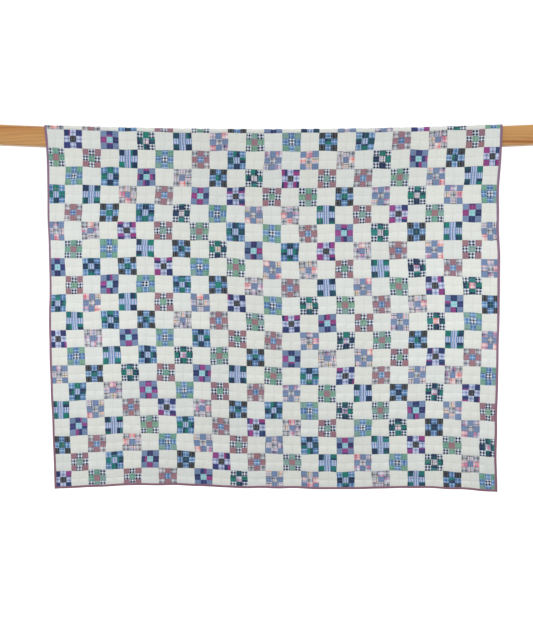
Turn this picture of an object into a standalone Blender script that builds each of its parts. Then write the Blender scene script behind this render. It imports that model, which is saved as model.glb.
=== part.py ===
"""Patchwork quilt hanging over a square pine beam.

The quilt is made flat, as on a frame, and then draped. Flat coordinates are
u (across, 0 at the middle), q (along, 0 at the front hem) and n (off the face,
0 in the batting). drape() lays them over the beam, front drop at -Y and back
drop at +Y. World coordinates: metres, +X along the beam, +Z up, with the origin
in the middle of the beam's left end face.
"""

import math
from typing import NamedTuple

import bmesh
import bpy
import numpy as np

# Beam
BEAM_LENGTH = 2.64
BEAM_SIDE = 0.095
BEAM_ROUNDING = 0.007
BEAM_SAG = 0.030
BEAM_STEPS = 32

# Patchwork: plain squares and nine-patch squares in turn
BLOCK_WIDTH = 0.088
BLOCK_LENGTH = 0.0875
COLUMNS = 25
ROWS = 29
FRONT_ROWS = 20
WIDTH = COLUMNS * BLOCK_WIDTH
LENGTH = ROWS * BLOCK_LENGTH

# Layers, measured from the middle of the batting
LINING = -0.0024
QUILTED = 0.0012
PADDED = 0.0028
PAD_SLOPE = 0.009
EDGE_FRONT = 0.0013
EDGE_BACK = -0.0010

# Binding: a strip folded over the raw edge
BINDING_REACH = 0.008
BINDING_CLOTH = 0.0011
BINDING_FRONT = 0.0022
BINDING_BACK = -0.0019
BINDING_OUT = 0.0018
BINDING_EDGE = BINDING_REACH + 0.0008
BUTT_GAP = 0.0004

# How the quilt lies over the beam
QUILT_OFFSET = 0.0327
REST_LIFT = 0.0028
CORNER_LIFT = 0.0048
REST_HALF = 0.019
ARC_STEPS = 3
LIP_BELOW_BLOCK = 0.0038
SWING_START = 0.10
SWELL_LENGTH = 0.80


class Swell(NamedTuple):
    """A stretch of the front drop: how far its cloth rides up or stands forward."""

    column: float
    half_way: float
    hem: float
    forward: float


SWELLS = (
    Swell(0.0, 0.000, -0.007, -0.026),
    Swell(2.0, 0.004, 0.005, -0.004),
    Swell(5.0, 0.010, 0.019, 0.010),
    Swell(8.0, 0.006, 0.013, 0.003),
    Swell(10.5, 0.002, 0.001, -0.006),
    Swell(13.0, -0.012, -0.003, 0.004),
    Swell(16.0, -0.008, -0.005, 0.012),
    Swell(19.5, -0.003, -0.001, -0.004),
    Swell(22.0, 0.001, 0.001, 0.006),
    Swell(25.0, -0.005, -0.021, -0.016),
)


class Edge(NamedTuple):
    """A height on the front drop: how far the sides and the middle stray in x."""

    drop: float
    left: float
    middle: float
    right: float


EDGES = (
    Edge(0.00, -0.002, 0.003, 0.008),
    Edge(0.16, 0.011, 0.000, -0.001),
    Edge(0.30, 0.015, -0.004, -0.008),
    Edge(0.44, 0.012, -0.006, -0.004),
    Edge(0.62, 0.015, -0.006, 0.008),
    Edge(0.78, 0.013, -0.003, 0.010),
    Edge(0.88, 0.006, 0.000, 0.010),
    Edge(1.06, 0.007, 0.003, 0.008),
    Edge(1.30, 0.011, 0.003, 0.007),
    Edge(1.55, 0.017, 0.006, 0.007),
    Edge(1.75, 0.020, 0.006, 0.014),
)
EDGE_BAND = 2.5 * BLOCK_WIDTH

BEAM_HALF = BEAM_SIDE / 2.0
CORNER = BEAM_HALF - BEAM_ROUNDING
ARC_RADIUS = BEAM_ROUNDING + CORNER_LIFT
ARC_LENGTH = ARC_RADIUS * math.pi / 2.0
OVER_LENGTH = 2.0 * ARC_LENGTH + 2.0 * CORNER
LIP = FRONT_ROWS * BLOCK_LENGTH + LIP_BELOW_BLOCK
FRONT_DROP = LIP


def follow(rows, place, value, at):
    """Read one named column of a table on a smooth curve through its rows."""
    x = np.array([getattr(row, place) for row in rows])
    y = np.array([getattr(row, value) for row in rows])
    slope = np.gradient(y, x)
    at = np.clip(at, x[0], x[-1])
    i = np.clip(np.searchsorted(x, at, side="right") - 1, 0, len(x) - 2)
    width = x[i + 1] - x[i]
    t = (at - x[i]) / width
    start = (1.0 + 2.0 * t) * (1.0 - t) ** 2 * y[i] + t * (1.0 - t) ** 2 * width * slope[i]
    end = t * t * (3.0 - 2.0 * t) * y[i + 1] + t * t * (t - 1.0) * width * slope[i + 1]
    return start + end


def ease(t):
    """Rise from 0 to 1 with level ends."""
    t = np.clip(t, 0.0, 1.0)
    return t * t * (3.0 - 2.0 * t)


def bow(x):
    """Height of the beam's axis over its ends: a shallow parabola."""
    across = (x - BEAM_LENGTH / 2.0) / (BEAM_LENGTH / 2.0)
    return -BEAM_SAG * (1.0 - across**2)


def spread(u, drop):
    """World x of the cloth u across and drop below the beam's front corner."""
    middle = follow(EDGES, "drop", "middle", drop)
    left = follow(EDGES, "drop", "left", drop) - middle
    right = follow(EDGES, "drop", "right", drop) - middle
    near_left = np.clip(1.0 - (u + WIDTH / 2.0) / EDGE_BAND, 0.0, None)
    near_right = np.clip(1.0 - (WIDTH / 2.0 - u) / EDGE_BAND, 0.0, None)
    pulled = middle + left * near_left**2 + right * near_right**2
    return BEAM_LENGTH / 2.0 + QUILT_OFFSET + u + pulled


def ride_up(u, x, drop):
    """How much the cloth rises over a plain straight hang from the bowed beam.

    Just under the beam it copies the bow, and lower down the table takes over.
    """
    column = (u + WIDTH / 2.0) / BLOCK_WIDTH
    level = np.linspace(-WIDTH / 2.0, WIDTH / 2.0, 101) + BEAM_LENGTH / 2.0 + QUILT_OFFSET
    at_beam = bow(x) - bow(level).mean()
    upper = ease(drop / SWELL_LENGTH)
    lower = ease((drop - SWELL_LENGTH) / (FRONT_DROP - SWELL_LENGTH))
    half_way = follow(SWELLS, "column", "half_way", column)
    hem = follow(SWELLS, "column", "hem", column)
    return (1.0 - upper) * at_beam + upper * (half_way + lower * (hem - half_way)) - at_beam


def over_beam(w):
    """Section of the quilt round the beam, w along it from the front corner."""
    back = w > OVER_LENGTH / 2.0
    side = np.where(back, 1.0, -1.0)
    run = np.where(back, OVER_LENGTH - w, w)
    turn = np.clip(run / ARC_RADIUS, 0.0, math.pi / 2.0)
    flat = np.clip(run - ARC_LENGTH, 0.0, None)
    landed = ease(flat / (CORNER - REST_HALF))
    y = CORNER + ARC_RADIUS * np.cos(turn) - flat
    z = CORNER + ARC_RADIUS * np.sin(turn) - landed * (CORNER_LIFT - REST_LIFT)
    return side * y, z


def middle_surface(u, q):
    """World point of the batting at u across and q along."""
    w = q - LIP
    drop = np.clip(-w, 0.0, None)
    back_drop = np.clip(w - OVER_LENGTH, 0.0, None)
    x = spread(u, drop)
    column = (u + WIDTH / 2.0) / BLOCK_WIDTH
    y, z = over_beam(np.clip(w, 0.0, OVER_LENGTH))
    swing = ease((drop - SWING_START) / (FRONT_DROP - SWING_START))
    swing_back = ease((back_drop - SWING_START) / (FRONT_DROP - SWING_START))
    forward = follow(SWELLS, "column", "forward", column)
    y = y - swing * forward - swing_back * forward
    z = z + bow(x) - drop + ride_up(u, x, drop) - back_drop + ride_up(u, x, back_drop)
    return np.stack([x, y, z], axis=-1)


def drape(flat):
    """Lay flat points (u, q, n) over the beam."""
    u, q, n = flat[:, 0], flat[:, 1], flat[:, 2]
    step = 0.0002
    across = middle_surface(u + step, q) - middle_surface(u - step, q)
    along = middle_surface(u, q + step) - middle_surface(u, q - step)
    normal = np.cross(across, along)
    normal /= np.linalg.norm(normal, axis=1, keepdims=True)
    return middle_surface(u, q) + n[:, None] * normal


def lined_grid(across, along):
    """A grid whose lines lie at the given places in the flat plane."""
    grid = bmesh.new()
    columns, rows = len(across) - 1, len(along) - 1
    bmesh.ops.create_grid(grid, x_segments=columns, y_segments=rows, size=1.0)
    for vert in grid.verts:
        i = round((vert.co.x + 1.0) / 2.0 * columns)
        j = round((vert.co.y + 1.0) / 2.0 * rows)
        vert.co = (across[i], along[j], 0.0)
    return grid


def across_lines():
    """Quilting lines run through the middle of each column of blocks."""
    centres = [(i + 0.5) * BLOCK_WIDTH - WIDTH / 2.0 for i in range(COLUMNS)]
    edge = WIDTH / 2.0
    return [-edge, -edge + BINDING_EDGE, *centres, edge - BINDING_EDGE, edge]


def along_lines():
    """Quilting lines through the middle of each row, and the turns over the beam."""
    centres = [(i + 0.5) * BLOCK_LENGTH for i in range(ROWS)]
    arc = [ARC_LENGTH * i / ARC_STEPS for i in range(ARC_STEPS + 1)]
    rest = ARC_LENGTH + CORNER - REST_HALF
    far_arc = [OVER_LENGTH - turn for turn in arc]
    turns = [LIP + turn for turn in (*arc, rest, OVER_LENGTH / 2.0, OVER_LENGTH - rest, *far_arc)]
    centres = [line for line in centres if all(abs(line - turn) > 0.004 for turn in turns)]
    return sorted([0.0, BINDING_EDGE, *centres, *turns, LENGTH - BINDING_EDGE, LENGTH])


def is_pad(face):
    """A pad is a front cell between quilting lines, clear of binding and beam."""
    q = [vert.co.y for vert in face.verts]
    u = [vert.co.x for vert in face.verts]
    in_margin = max(abs(value) for value in u) > WIDTH / 2.0 - BINDING_EDGE / 2.0
    in_hem = min(q) < BINDING_EDGE / 2.0 or max(q) > LENGTH - BINDING_EDGE / 2.0
    on_beam = min(q) > LIP - 0.001 and max(q) < LIP + OVER_LENGTH + 0.001
    narrow = max(q) - min(q) < 3.0 * PAD_SLOPE
    return face.normal.z > 0.9 and not (in_margin or in_hem or on_beam or narrow)


def quilt_body_mesh():
    """Top, batting and lining, quilted together: a slab with raised pads."""
    body = lined_grid(across_lines(), along_lines())
    bmesh.ops.solidify(body, geom=body.faces[:], thickness=0.001)
    bmesh.ops.recalc_face_normals(body, faces=body.faces[:])
    middle = sum(vert.co.z for vert in body.verts) / len(body.verts)
    for vert in body.verts:
        front = vert.co.z > middle
        inside = min(WIDTH / 2.0 - abs(vert.co.x), vert.co.y, LENGTH - vert.co.y)
        bound = inside < BINDING_EDGE + 0.0001
        if front:
            vert.co.z = EDGE_FRONT if bound else QUILTED
        else:
            vert.co.z = EDGE_BACK if bound else LINING
    body.normal_update()
    pads = [face for face in body.faces if is_pad(face)]
    bmesh.ops.inset_individual(
        body, faces=pads, thickness=PAD_SLOPE, depth=PADDED - QUILTED, use_even_offset=True
    )
    return body


def binding_section():
    """Folded strip in section: (out from the raw edge, off the middle)."""
    fold = 0.001
    return [
        (-BINDING_REACH, BINDING_FRONT),
        (BINDING_OUT - fold, BINDING_FRONT),
        (BINDING_OUT, BINDING_FRONT - 1.2 * fold),
        (BINDING_OUT, BINDING_BACK + 1.2 * fold),
        (BINDING_OUT - fold, BINDING_BACK),
        (-BINDING_REACH, BINDING_BACK),
    ]


def binding_mesh(stations, place):
    """Sweep the folded section along the stations. place(out, n, station) is flat."""
    section = binding_section()
    strip = lined_grid(range(len(section)), stations)
    for vert in strip.verts:
        out, n = section[round(vert.co.x)]
        vert.co = place(out, n, vert.co.y)
    return strip


def side_binding_mesh(side):
    """Strip on the left (-1) or right (+1) edge, the whole length of the quilt."""
    overhang = BINDING_OUT + BINDING_CLOTH / 2.0
    stations = [-overhang, *along_lines(), LENGTH + overhang]
    strip = binding_mesh(stations, lambda out, n, at: (side * (WIDTH / 2.0 + out), at, n))
    if side < 0.0:
        bmesh.ops.reverse_faces(strip, faces=strip.faces[:])
    return strip


def hem_binding_mesh(side):
    """Strip on the front (-1) or back (+1) hem, butted between the side strips."""
    edge = WIDTH / 2.0 - BINDING_REACH - BUTT_GAP
    stations = [-edge, *across_lines()[2:-2], edge]
    middle = LENGTH / 2.0
    strip = binding_mesh(
        stations, lambda out, n, at: (at, middle + side * (middle + out), n)
    )
    if side > 0.0:
        bmesh.ops.reverse_faces(strip, faces=strip.faces[:])
    return strip


def beam_mesh():
    """Square timber with rounded long edges, bowed by its own weight."""
    beam = bmesh.new()
    bmesh.ops.create_cube(beam, size=1.0)
    bmesh.ops.scale(beam, vec=(BEAM_LENGTH, BEAM_SIDE, BEAM_SIDE), verts=beam.verts[:])
    bmesh.ops.translate(beam, vec=(BEAM_LENGTH / 2.0, 0.0, 0.0), verts=beam.verts[:])
    long_edges = [edge for edge in beam.edges if edge.calc_length() > BEAM_SIDE * 2.0]
    bmesh.ops.bevel(
        beam, geom=long_edges, offset=BEAM_ROUNDING, segments=3, profile=0.5, affect="EDGES"
    )
    long_edges = [edge for edge in beam.edges if edge.calc_length() > BEAM_SIDE * 2.0]
    bmesh.ops.subdivide_edges(beam, edges=long_edges, cuts=BEAM_STEPS - 1, use_grid_fill=True)
    for vert in beam.verts:
        vert.co.z += bow(vert.co.x)
    return beam


def make_material(name, colour, roughness):
    """A Principled material with one colour."""
    material = bpy.data.materials.new(name)
    material.use_nodes = True
    shader = material.node_tree.nodes["Principled BSDF"]
    shader.inputs["Base Color"].default_value = (*colour, 1.0)
    shader.inputs["Roughness"].default_value = roughness
    shader.inputs["Metallic"].default_value = 0.0
    material.diffuse_color = (*colour, 1.0)
    return material


def add_object(name, shape, material, collection, draped=True):
    """Turn a bmesh into a named object, laid over the beam if it is cloth."""
    mesh = bpy.data.meshes.new(name)
    shape.to_mesh(mesh)
    shape.free()
    if draped:
        flat = np.empty(len(mesh.vertices) * 3)
        mesh.vertices.foreach_get("co", flat)
        mesh.vertices.foreach_set("co", drape(flat.reshape(-1, 3)).ravel())
        mesh.update()
    mesh.materials.append(material)
    item = bpy.data.objects.new(name, mesh)
    collection.objects.link(item)
    return item


def add_binding(name, shape, material, collection):
    """A binding strip: its folded sheet, made one cloth thick."""
    strip = add_object(name, shape, material, collection)
    cloth = strip.modifiers.new("cloth", "SOLIDIFY")
    cloth.thickness = BINDING_CLOTH
    cloth.offset = 0.0
    cloth.use_even_offset = True
    return strip


def build():
    """Clear the scene and make the six pieces."""
    for item in list(bpy.data.objects):
        bpy.data.objects.remove(item, do_unlink=True)
    collection = bpy.data.collections.new("quilt_on_beam")
    bpy.context.scene.collection.children.link(collection)
    pine = make_material("pine", (0.50, 0.27, 0.10), 0.55)
    cotton = make_material("cotton_patchwork", (0.66, 0.68, 0.66), 0.90)
    plum = make_material("plum_binding", (0.24, 0.12, 0.19), 0.90)
    add_object("beam", beam_mesh(), pine, collection, draped=False)
    add_object("quilt_body", quilt_body_mesh(), cotton, collection)
    add_binding("binding_left", side_binding_mesh(-1.0), plum, collection)
    add_binding("binding_right", side_binding_mesh(1.0), plum, collection)
    add_binding("binding_front_hem", hem_binding_mesh(-1.0), plum, collection)
    add_binding("binding_back_hem", hem_binding_mesh(1.0), plum, collection)


build()
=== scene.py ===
"""Dresses a patchwork quilt that hangs over a square pine beam.

The quilt is made flat first. Its place is (across, up, off): metres across from its middle, metres
up from the front hem, and metres off the middle of the batting. Drape then carries every flat point
to where it hangs, so the pieced top, the reverse and the four binding strips stay together.
"""

import logging
import math
from collections.abc import Callable
from dataclasses import astuple, dataclass, field
from enum import Enum

import bpy
import numpy as np
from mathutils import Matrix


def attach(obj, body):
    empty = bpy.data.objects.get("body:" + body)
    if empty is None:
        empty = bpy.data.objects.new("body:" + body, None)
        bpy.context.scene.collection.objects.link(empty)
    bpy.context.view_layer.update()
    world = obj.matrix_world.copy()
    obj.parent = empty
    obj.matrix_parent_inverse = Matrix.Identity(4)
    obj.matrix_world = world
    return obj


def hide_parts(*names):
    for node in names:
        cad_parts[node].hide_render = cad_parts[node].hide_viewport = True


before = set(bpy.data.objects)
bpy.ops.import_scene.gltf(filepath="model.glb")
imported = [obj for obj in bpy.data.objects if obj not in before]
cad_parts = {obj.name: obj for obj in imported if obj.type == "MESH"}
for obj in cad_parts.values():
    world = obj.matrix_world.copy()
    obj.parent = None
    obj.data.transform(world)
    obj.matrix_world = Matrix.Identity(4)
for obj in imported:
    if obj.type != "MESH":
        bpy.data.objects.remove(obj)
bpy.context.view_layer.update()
LOG = logging.getLogger("quilt")
Array = np.ndarray
Colour = tuple[float, float, float]

# The beam, in metres.
BEAM_LENGTH = 2.64
BEAM_SIDE = 0.095
BEAM_ROUNDING = 0.007
BEAM_SAG = 0.030
BEAM_HALF = BEAM_SIDE / 2
CORNER = BEAM_HALF - BEAM_ROUNDING

# The quilt's blocks and layers, in metres.
BLOCK_WIDTH = 0.088
BLOCK_LENGTH = 0.0875
COLUMNS = 25
ROWS = 29
FRONT_ROWS = 20
WIDTH = COLUMNS * BLOCK_WIDTH
LENGTH = ROWS * BLOCK_LENGTH
LINING = -0.0024
PADDED = 0.0028
EDGE_FRONT = 0.0013
EDGE_BACK = -0.0010
BINDING_REACH = 0.008
BINDING_END = 0.00235
BUTT_GAP = 0.0004

# How the quilt lies on the beam, in metres.
QUILT_OFFSET = 0.0327
REST_LIFT = 0.0028
CORNER_LIFT = 0.0048
REST_HALF = 0.019
LIP_BELOW_BLOCK = 0.0038
SWING_START = 0.10
SWELL_LENGTH = 0.80
EDGE_BAND = 2.5 * BLOCK_WIDTH
THIRD_AT = 7.0 * BLOCK_WIDTH
ARC_RADIUS = BEAM_ROUNDING + CORNER_LIFT
ARC_LENGTH = ARC_RADIUS * math.pi / 2
OVER_LENGTH = 2 * ARC_LENGTH + 2 * CORNER
LIP = FRONT_ROWS * BLOCK_LENGTH + LIP_BELOW_BLOCK


@dataclass(frozen=True)
class Swell:
    """One soft fold down the quilt: its column, how far its rows rise, and how far it leans out."""

    column: float
    half_way: float
    hem: float
    forward: float


@dataclass(frozen=True)
class Edge:
    """How far the quilt's columns stray sideways, from its left side to its right, at one drop."""

    drop: float
    left: float
    left_third: float
    middle: float
    right_third: float
    right: float


SWELLS = (
    Swell(0.0, 0.000, -0.007, -0.026),
    Swell(2.0, 0.004, 0.005, -0.004),
    Swell(5.0, 0.010, 0.020, 0.010),
    Swell(8.0, 0.006, 0.015, 0.003),
    Swell(10.5, 0.002, 0.001, -0.006),
    Swell(13.0, -0.012, 0.003, 0.004),
    Swell(16.0, -0.008, 0.000, 0.012),
    Swell(19.5, -0.003, 0.001, -0.004),
    Swell(22.0, 0.001, 0.001, 0.006),
    Swell(25.0, -0.005, -0.021, -0.016),
)
EDGES = (
    Edge(0.00, -0.0020, 0.0020, 0.0015, 0.0055, 0.0040),
    Edge(0.16, 0.0095, 0.0035, -0.0025, -0.0020, -0.0010),
    Edge(0.30, 0.0075, 0.0005, -0.0070, -0.0075, -0.0080),
    Edge(0.44, 0.0070, -0.0065, -0.0070, -0.0090, -0.0055),
    Edge(0.62, 0.0090, -0.0065, -0.0060, -0.0070, 0.0035),
    Edge(0.78, 0.0090, -0.0055, -0.0040, -0.0010, 0.0055),
    Edge(0.88, 0.0030, -0.0055, -0.0005, 0.0040, 0.0065),
    Edge(1.06, 0.0020, -0.0005, 0.0010, 0.0050, 0.0060),
    Edge(1.30, 0.0050, 0.0045, 0.0020, 0.0005, 0.0060),
    Edge(1.55, 0.0105, 0.0090, 0.0060, 0.0015, 0.0070),
    Edge(1.75, 0.0135, 0.0090, 0.0080, 0.0060, 0.0130),
)


def ease(share: Array) -> Array:
    """Soft step: three times the square less twice the cube, from 0 to 1.

    Args:
        share: Where the step stands, clipped to 0 and 1.

    Returns:
        The eased share.
    """
    share = np.clip(share, 0.0, 1.0)
    return share * share * (3.0 - 2.0 * share)


def follow(rows: tuple, place: str, value: str, at: Array) -> Array:
    """Reads a table's smooth line: a cubic through its rows, with the slopes of their neighbours.

    Args:
        rows: The table's rows.
        place: The column that says where each row stands.
        value: The column that is read.
        at: Where the line is read, clipped to the table's ends.

    Returns:
        The line's values.
    """
    places = np.array([getattr(row, place) for row in rows])
    values = np.array([getattr(row, value) for row in rows])
    slopes = np.gradient(values, places)
    at = np.clip(at, places[0], places[-1])
    row = np.clip(np.searchsorted(places, at) - 1, 0, len(places) - 2)
    step = places[row + 1] - places[row]
    t = (at - places[row]) / step
    rest = 1.0 - t
    return (
        values[row] * (1.0 + 2.0 * t) * rest**2
        + slopes[row] * step * t * rest**2
        + values[row + 1] * (3.0 - 2.0 * t) * t**2
        - slopes[row + 1] * step * rest * t**2
    )


def ripples(across: Array, up: Array, wavelength: float, seed: int, waves: int = 28) -> Array:
    """Uneven waves: the sum of sines in seeded directions, about 1 high at their crests.

    Args:
        across: First coordinate, in metres.
        up: Second coordinate, in metres.
        wavelength: The middle wavelength, in metres.
        seed: Seed of the directions, lengths and phases.
        waves: How many sines are summed.

    Returns:
        The height at each point.
    """
    draw = np.random.default_rng(seed)
    turn = draw.uniform(0.0, 2.0 * math.pi, waves)
    rate = 2.0 * math.pi / (wavelength * draw.uniform(0.65, 1.6, waves))
    phase = draw.uniform(0.0, 2.0 * math.pi, waves)
    total = np.zeros(np.broadcast(across, up).shape)
    for direction, speed, start in zip(turn, rate, phase):
        total += np.sin(speed * (across * math.cos(direction) + up * math.sin(direction)) + start)
    return total / math.sqrt(2.0 * waves)


@dataclass(frozen=True)
class Drape:
    """Carries the flat quilt to the place where it hangs over the beam."""

    nudge: float = 0.0002
    sway: float = 0.0011
    sway_up: float = 0.00176
    sway_length: float = 0.16
    sway_waves: int = 12
    sway_seeds: tuple[int, int] = (301, 302)
    taken_in: float = 0.0048

    def bow(self, x: Array) -> Array:
        """The beam's sag: a parabola, nothing at the ends and BEAM_SAG in the middle.

        Args:
            x: Places along the beam.

        Returns:
            The beam's height there.
        """
        across = (x - BEAM_LENGTH / 2) / (BEAM_LENGTH / 2)
        return -BEAM_SAG * (1.0 - across**2)

    def spread(self, across: Array, drop: Array) -> Array:
        """Sideways place: the flat place, plus the columns' strays and, near a side, its own.

        The columns next to the right side are cut narrower there, by a parabola of taken_in.

        Args:
            across: Metres from the quilt's middle.
            drop: Metres below the beam's edge.

        Returns:
            The place along the beam.
        """
        names = ("left", "left_third", "middle", "right_third", "right")
        left, left_third, middle, right_third, right = (
            follow(EDGES, "drop", name, drop) for name in names
        )
        left, right = left - left_third, right - right_third
        columns = middle + ease(-across / THIRD_AT) * (left_third - middle)
        columns = columns + ease(across / THIRD_AT) * (right_third - middle)
        near_left = np.clip(1.0 - (across + WIDTH / 2) / EDGE_BAND, 0.0, None)
        near_right = np.clip(1.0 - (WIDTH / 2 - across) / EDGE_BAND, 0.0, None)
        squeezed = self.taken_in * 4.0 * near_right * (1.0 - near_right)
        centre = BEAM_LENGTH / 2 + QUILT_OFFSET
        return centre + across + columns + left * near_left**2 + right * near_right**2 + squeezed

    def ride_up(self, across: Array, x: Array, drop: Array) -> Array:
        """How much higher a row hangs than the beam gives: the bow fades into the swells' lines.

        Args:
            across: Metres from the quilt's middle.
            x: Places along the beam.
            drop: Metres below the beam's edge.

        Returns:
            The extra height.
        """
        column = (across + WIDTH / 2) / BLOCK_WIDTH
        level = np.linspace(-WIDTH / 2, WIDTH / 2, 101) + BEAM_LENGTH / 2 + QUILT_OFFSET
        at_beam = self.bow(x) - self.bow(level).mean()
        upper = ease(drop / SWELL_LENGTH)
        lower = ease((drop - SWELL_LENGTH) / (LIP - SWELL_LENGTH))
        half_way = follow(SWELLS, "column", "half_way", column)
        hem = follow(SWELLS, "column", "hem", column)
        return (1.0 - upper) * at_beam + upper * (half_way + lower * (hem - half_way)) - at_beam

    def over_beam(self, run: Array) -> tuple[Array, Array]:
        """The section round the beam: two quarter turns, and a flat between that sinks to rest.

        Args:
            run: Metres along the section from its front edge.

        Returns:
            Depth and height about the beam's axis.
        """
        back = run > OVER_LENGTH / 2
        side = np.where(back, 1.0, -1.0)
        run = np.where(back, OVER_LENGTH - run, run)
        turn = np.clip(run / ARC_RADIUS, 0.0, math.pi / 2)
        flat = np.clip(run - ARC_LENGTH, 0.0, None)
        landed = ease(flat / (CORNER - REST_HALF))
        depth = CORNER + ARC_RADIUS * np.cos(turn) - flat
        height = CORNER + ARC_RADIUS * np.sin(turn) - landed * (CORNER_LIFT - REST_LIFT)
        return side * depth, height

    def middle_surface(self, across: Array, up: Array) -> Array:
        """The middle of the batting: over the beam, then down both drops with their swells.

        Args:
            across: Metres from the quilt's middle.
            up: Metres from the front hem.

        Returns:
            Points, with a last axis of three.
        """
        run = up - LIP
        drop = np.clip(-run, 0.0, None)
        back_drop = np.clip(run - OVER_LENGTH, 0.0, None)
        x = self.spread(across, drop)
        column = (across + WIDTH / 2) / BLOCK_WIDTH
        y, z = self.over_beam(np.clip(run, 0.0, OVER_LENGTH))
        swing = ease((drop - SWING_START) / (LIP - SWING_START))
        swing_back = ease((back_drop - SWING_START) / (LIP - SWING_START))
        y = y - (swing + swing_back) * follow(SWELLS, "column", "forward", column)
        z = z + self.bow(x) - drop + self.ride_up(across, x, drop)
        z = z - back_drop + self.ride_up(across, x, back_drop)
        to_side, upwards = (
            ripples(across, up, self.sway_length, seed, waves=self.sway_waves)
            for seed in self.sway_seeds
        )
        x = x + self.sway * to_side
        z = z + self.sway_up * upwards * ease((drop + back_drop) / SWING_START)
        return np.stack([x, y, z], axis=-1)

    def place(self, across: Array, up: Array, off: Array) -> Array:
        """Hangs flat points: the middle surface, plus its outward normal times the height off it.

        Args:
            across: Metres from the quilt's middle.
            up: Metres from the front hem.
            off: Metres off the batting's middle, outwards.

        Returns:
            Points, with a last axis of three.
        """
        across, up, off = np.broadcast_arrays(across, up, off)
        step = self.nudge
        to_side = self.middle_surface(across + step, up) - self.middle_surface(across - step, up)
        upwards = self.middle_surface(across, up + step) - self.middle_surface(across, up - step)
        normal = np.cross(to_side, upwards)
        normal /= np.linalg.norm(normal, axis=-1, keepdims=True)
        return self.middle_surface(across, up) + normal * off[..., None]


DRAPE = Drape()


# ---------------------------------------------------------------------------------------- meshes


def put_uv(mesh: bpy.types.Mesh, name: str, corners: Array) -> None:
    """Gives a mesh a UV map.

    Args:
        mesh: The mesh.
        name: The map's name.
        corners: Two numbers for each face corner.
    """
    layer = mesh.uv_layers.new(name=name)
    layer.data.foreach_set("uv", np.ascontiguousarray(corners, dtype=np.float32).ravel())


def put_on_faces(mesh: bpy.types.Mesh, name: str, values: Array) -> None:
    """Gives each face of a mesh three numbers.

    Args:
        mesh: The mesh.
        name: The attribute's name.
        values: Three numbers for each face.
    """
    made = mesh.attributes.new(name, "FLOAT_VECTOR", "FACE")
    made.data.foreach_set("vector", np.ascontiguousarray(values, dtype=np.float32).ravel())


def grid_mesh(
    name: str, points: Array, closed: bool = False, flip: bool = False
) -> bpy.types.Object:
    """Makes a piece from a grid of points, with one quad between each four neighbours.

    Args:
        name: The piece's name.
        points: The grid, of shape (stations, points round, 3).
        closed: True joins each station's last point to its first and caps both ends with one face.
        flip: True turns the faces over.

    Returns:
        The piece, at the origin.
    """
    stations, around = points.shape[:2]
    index = np.arange(stations * around).reshape(stations, around)
    if closed:
        index = np.concatenate([index, index[:, :1]], axis=1)
    corners = [index[:-1, :-1], index[:-1, 1:], index[1:, 1:], index[1:, :-1]]
    quads = np.stack(corners, axis=-1).reshape(-1, 4)
    if flip:
        quads = quads[:, ::-1]
    faces = quads.tolist()
    if closed:
        first, last = np.arange(around), np.arange(around) + (stations - 1) * around
        faces += [first.tolist() if flip else first[::-1].tolist()]
        faces += [last[::-1].tolist() if flip else last.tolist()]
    mesh = bpy.data.meshes.new(name)
    mesh.from_pydata(points.reshape(-1, 3).tolist(), [], faces)
    mesh.validate()
    mesh.polygons.foreach_set("use_smooth", np.ones(len(mesh.polygons), dtype=bool))
    mesh.update()
    piece = bpy.data.objects.new(name, mesh)
    bpy.context.scene.collection.objects.link(piece)
    return piece


def corner_points(mesh: bpy.types.Mesh) -> Array:
    """Which vertex stands at each face corner."""
    corners = np.zeros(len(mesh.loops), dtype=np.int32)
    mesh.loops.foreach_get("vertex_index", corners)
    return corners


def flat_corners(mesh: bpy.types.Mesh, across_line: Array, up_line: Array) -> Array:
    """Where each face corner of a grid lies on the flat quilt.

    Args:
        mesh: The grid's mesh.
        across_line: The grid's lines from the left edge.
        up_line: The grid's lines from the front hem.

    Returns:
        Metres across and up, for each corner.
    """
    row, column = np.divmod(corner_points(mesh), len(across_line))
    return np.stack([across_line[column], up_line[row]], axis=-1)


def put_flat(mesh: bpy.types.Mesh, flat: Array) -> None:
    """Gives a mesh the flat quilt's two maps: in metres, and in shares of its size.

    Args:
        mesh: The mesh.
        flat: Metres across and up, for each corner.
    """
    put_uv(mesh, "flat", flat)
    put_uv(mesh, "OFBake", flat / np.array([WIDTH, LENGTH]))


def from_edge(across: Array, up: Array) -> Array:
    """Distance to the nearest of the quilt's four edges."""
    return np.minimum(np.minimum(across, WIDTH - across), np.minimum(up, LENGTH - up))


def notch(place: Array, size: float, start: float, half: float) -> Array:
    """A row of narrow bells, one in each size: e to the less square of the distance over half.

    Args:
        place: Where it is read, in metres.
        size: The bells' pitch.
        start: The first bell's place, in pitches.
        half: A bell's half width.

    Returns:
        1 on the bells, and 0 between them.
    """
    distance = np.abs((place / size - start + 0.5) % 1.0 - 0.5) * size
    return np.exp(-((distance / half) ** 2))


@dataclass
class Piece:
    """A piece of the scene: it is built, fitted to the solid that it stands for, and dressed."""

    piece: bpy.types.Object = field(default=None, init=False)

    def fit(self, node: str, slot: str) -> None:
        """Ties the piece to the part and logs it.

        Args:
            node: The solid that it replaces.
            slot: The solid's material; not used.
        """
        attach(self.piece, "root")
        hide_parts(node)
        LOG.info("%s: %d faces", self.piece.name, len(self.piece.data.polygons))

    def dress(self, finish: bpy.types.Material) -> None:
        """Gives the piece its material."""
        self.piece.data.materials.append(finish)


# --------------------------------------------------------------------------------------- shaders


def operator(kind: str, swapped: bool = False) -> Callable[..., "Value"]:
    """Makes a method of Value that adds one Math node.

    Args:
        kind: The node's operation.
        swapped: True where the value stands on the right.

    Returns:
        The method.
    """

    def method(self: "Value", other: "Number" = 0.0) -> "Value":
        """Adds the node."""
        left, right = (other, self) if swapped else (self, other)
        return self.nodes.add("ShaderNodeMath", {"operation": kind}, {0: left, 1: right})

    return method


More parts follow.
